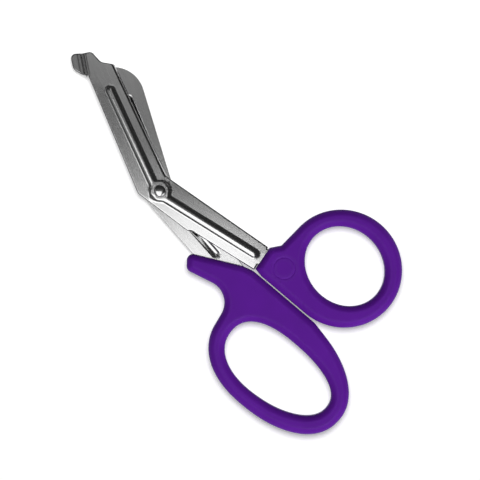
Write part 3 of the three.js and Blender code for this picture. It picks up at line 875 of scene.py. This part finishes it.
def floor_material():
    """Pale floor: white to the camera and to reflections, with the object's shadow kept."""
    material, nodes, links, shader = new_material("studio_floor")
    nodes.remove(shader)
    matt = nodes.new("ShaderNodeBsdfDiffuse")
    matt.inputs["Color"].default_value = (0.82, 0.82, 0.82, 1)
    path = nodes.new("ShaderNodeLightPath")
    seen = nodes.new("ShaderNodeMath")
    seen.operation = "MAXIMUM"
    links.new(path.outputs["Is Camera Ray"], seen.inputs[0])
    links.new(path.outputs["Is Glossy Ray"], seen.inputs[1])
    lift = nodes.new("ShaderNodeMath")
    lift.operation = "MULTIPLY"
    lift.inputs[1].default_value = FLOOR_LIFT
    links.new(seen.outputs["Value"], lift.inputs[0])
    glow = nodes.new("ShaderNodeEmission")
    links.new(lift.outputs["Value"], glow.inputs["Strength"])
    both = nodes.new("ShaderNodeAddShader")
    links.new(matt.outputs["BSDF"], both.inputs[0])
    links.new(glow.outputs["Emission"], both.inputs[1])
    links.new(both.outputs["Shader"], nodes["Material Output"].inputs["Surface"])
    return material


# ---------------------------------------------------------------- studio

def in_view(x, y):
    """Point in the object's frame, from one in the view: x to its right and y to its top."""
    return placer(-PHOTO_TURN, VIEW_CENTRE)(x, y)


def camera():
    data = bpy.data.cameras.new("camera")
    data.lens = LENS
    data.sensor_width = SENSOR_WIDTH
    distance = VIEW_WIDTH * LENS / SENSOR_WIDTH
    item = bpy.data.objects.new("camera", data)
    item.location = (VIEW_CENTRE[0] * MM, VIEW_CENTRE[1] * MM, (distance + VIEWED_LEVEL) * MM)
    item.rotation_euler = (0, 0, math.radians(-PHOTO_TURN))
    data.clip_end = 10
    bpy.context.scene.collection.objects.link(item)
    bpy.context.scene.camera = item


def panel(name, place, size, level, aim=None, lights=None, glossy=True):
    """Soft light at a place in the view that shines on the given pieces, or on everything."""
    x, y, z = place
    data = bpy.data.lights.new(name, "AREA")
    data.shape = "RECTANGLE"
    data.size, data.size_y = size[0] * MM, size[1] * MM
    data.energy = level * math.pi * size[0] * size[1] * MM ** 2
    item = bpy.data.objects.new(name, data)
    here, target = in_view(x, y), in_view(*(aim or (x, y)))
    item.location = (here[0] * MM, here[1] * MM, z * MM)
    away = Vector((here[0] - target[0], here[1] - target[1], z))
    item.rotation_mode = "QUATERNION"
    item.rotation_quaternion = Matrix.Rotation(math.radians(-PHOTO_TURN), 3, "Z").to_quaternion()
    tilt = Vector((0, 0, 1)).rotation_difference(away.normalized())
    item.rotation_quaternion = tilt @ item.rotation_quaternion
    item.visible_camera = False
    item.visible_glossy = glossy
    bpy.context.scene.collection.objects.link(item)
    if lights:
        group = bpy.data.collections.new(name + "_receivers")
        for piece in lights:
            group.objects.link(piece)
        item.light_linking.receiver_collection = group
    return item


def surroundings():
    """White to the camera, and an even dim grey to everything else."""
    world = bpy.data.worlds.new("studio")
    bpy.context.scene.world = world
    world.use_nodes = True
    nodes, links = world.node_tree.nodes, world.node_tree.links
    path = nodes.new("ShaderNodeLightPath")
    level = nodes.new("ShaderNodeMapRange")
    level.inputs["To Min"].default_value = WORLD_LEVEL
    level.inputs["To Max"].default_value = 1.0
    links.new(path.outputs["Is Camera Ray"], level.inputs["Value"])
    links.new(level.outputs["Result"], nodes["Background"].inputs["Strength"])
    nodes["Background"].inputs["Color"].default_value = (1, 1, 1, 1)


def studio_floor():
    floor_z = min(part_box(node)[0][2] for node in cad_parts) - FLOOR_GAP * MM
    half = 6.0
    corners = [(-half, -half), (half, -half), (half, half), (-half, half)]
    mesh = bpy.data.meshes.new("floor")
    mesh.from_pydata([(x, y, floor_z) for x, y in corners], [], [(0, 1, 2, 3)])
    mesh.materials.append(floor_material())
    floor = bpy.data.objects.new("floor", mesh)
    bpy.context.scene.collection.objects.link(floor)
    return floor


def studio(steel_pieces, rivets, plastic_pieces):
    bpy.context.scene.view_settings.view_transform = "Standard"
    surroundings()
    floor = studio_floor()
    panel("steel_card", (-90, -189, 260), (220, 400), 2.0, lights=steel_pieces + rivets)
    panel("tip_card", (-50, 250, 400), (155, 330), 0.45, lights=steel_pieces)
    panel("left_card", (-420, -60, 300), (360, 420), 0.2, lights=steel_pieces + rivets)
    panel("rivet_card", (260, -300, 260), (300, 300), 1.6, aim=(-33, 20), lights=rivets)
    panel("overhead", (-60, -300, 900), (900, 900), 1.5, aim=(0, 0), lights=plastic_pieces, glossy=False)
    panel("low_fill", (520, -840, 1000), (1000, 1000), 4.7, aim=(0, 0), lights=plastic_pieces, glossy=False)
    panel("floor_light", (20, 170, 900), (420, 420), 15.5, aim=(0, 0), lights=[floor])


camera()

purple = moulded_plastic("purple_plastic", (0.107, 0.0112, 0.301))
blade_steel = brushed_steel("blade_steel", 0.62, 0.23)
rivet_steel = polished_steel("rivet_steel")
witness_mark = lower_shank_place(TANG_END - LOCK_HOLE_SETBACK, 0.0)
blades = [
    (lower_blade(), "thumb_side", "lower_blade", "blade_steel", blade_steel),
    (upper_blade(), "finger_side", "upper_blade", "blade_steel", blade_steel),
    (rivet(), "finger_side", "pivot_rivet", "rivet_steel", rivet_steel),
]
handles = [
    (
        handle("thumb_handle", "thumb_handle_moulding", THUMB_OUTLINE_LEVEL, witness_mark),
        "thumb_side", "thumb_handle",
    ),
    (
        handle("finger_handle", "finger_handle_moulding", FINGER_OUTLINE_LEVEL),
        "finger_side", "finger_handle",
    ),
]
for piece, body, node, slot, material in blades + [(*row, "handle_plastic", purple) for row in handles]:
    piece.data.materials.append(material)
    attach(piece, body)
    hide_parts(node)
studio([row[0] for row in blades[:2]], [blades[2][0]], [row[0] for row in handles])
